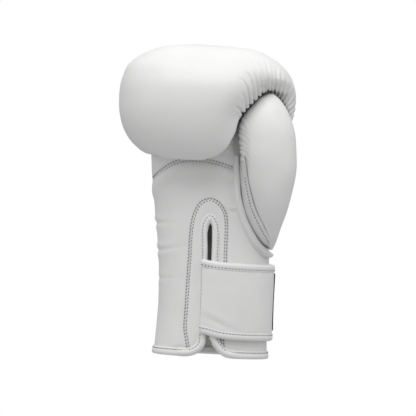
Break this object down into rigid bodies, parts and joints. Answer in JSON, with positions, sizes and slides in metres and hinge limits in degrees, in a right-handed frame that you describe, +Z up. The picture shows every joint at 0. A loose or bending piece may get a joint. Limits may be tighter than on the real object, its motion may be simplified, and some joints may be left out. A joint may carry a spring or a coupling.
{
  "type": "boxing glove",
  "caption": "Right-hand boxing glove with a padded curled fist, a hinged thumb, a slit cuff and a wide wrap-round hook-and-loop wrist strap.",
  "frame": {"origin": "under the middle of the glove, level with the cuff's rim it stands on", "axes": "+Z up from the cuff to the knuckles, -Y is the palm side, +X is the thumb side"},
  "size_m": [0.1717, 0.1409, 0.295],
  "materials": {
    "white_leather": "smooth satin coated leather",
    "binding_leather": "smooth satin coated leather, folded",
    "padding_foam": "closed-cell foam",
    "lining_fabric": "smooth woven lining",
    "hook_tape": "hook tape",
    "loop_tape": "loop tape",
    "badge_rubber": "matte rubber"
  },
  "bodies": {
    "glove": {"cuff_back_panel": "white_leather", "cuff_foam_back": "padding_foam", "cuff_foam_little_side": "padding_foam", "cuff_foam_thumb_side": "padding_foam", "finger_lining": "lining_fabric", "finger_panel": "white_leather", "grip_bar_core": "padding_foam", "grip_bar_cover": "lining_fabric", "hand_back_foam": "padding_foam", "hand_back_panel": "white_leather", "hand_lining": "lining_fabric", "knuckle_cover": "white_leather", "knuckle_foam_core": "padding_foam", "knuckle_foam_outer": "padding_foam", "loop_tape": "loop_tape", "palm_foam": "padding_foam", "palm_panel": "white_leather", "rim_binding_little_side": "binding_leather", "rim_binding_thumb_side": "binding_leather", "side_panel": "white_leather", "slit_binding": "binding_leather", "slit_facing": "white_leather", "thumb_gusset": "white_leather", "thumb_piping": "binding_leather"},
    "thumb": {"thumb_cover": "white_leather", "thumb_foam": "padding_foam", "thumb_lining": "lining_fabric"},
    "strap_front": {"strap_front_binding_bottom": "binding_leather", "strap_front_binding_top": "binding_leather", "strap_front_core": "padding_foam", "strap_front_cover": "white_leather"},
    "strap_side": {"strap_side_binding_bottom": "binding_leather", "strap_side_binding_top": "binding_leather", "strap_side_core": "padding_foam", "strap_side_cover": "white_leather", "strap_badge": "badge_rubber"},
    "strap_end": {"strap_end_binding_bottom": "binding_leather", "strap_end_binding_top": "binding_leather", "strap_end_core": "padding_foam", "strap_end_cover": "white_leather", "hook_tape": "hook_tape"}
  },
  "joints": [
    {"name": "thumb_flex", "type": "hinge", "parent": "glove", "child": "thumb", "pos_m": [0.06, -0.025, 0.12], "axis": [0, 1, 0], "range_deg": [0, 8], "stiffness_Nm_per_rad": 1.5},
    {"name": "strap_open", "type": "hinge", "parent": "glove", "child": "strap_front", "pos_m": [0.0032, -0.0268, 0.055], "axis": [0, 0, -1], "range_deg": [0, 80]},
    {"name": "strap_unwrap_side", "type": "hinge", "parent": "strap_front", "child": "strap_side", "pos_m": [0.04425, -0.0222, 0.055], "axis": [0, 0, -1], "range_deg": [0, 70]},
    {"name": "strap_unwrap_end", "type": "hinge", "parent": "strap_side", "child": "strap_end", "pos_m": [0.04425, 0.059, 0.055], "axis": [0, 0, -1], "range_deg": [0, 80]}
  ],
  "couplings": [
    {"joint": "strap_unwrap_side", "follows": "strap_open", "ratio": 0.875},
    {"joint": "strap_unwrap_end", "follows": "strap_open", "ratio": 1}
  ]
}
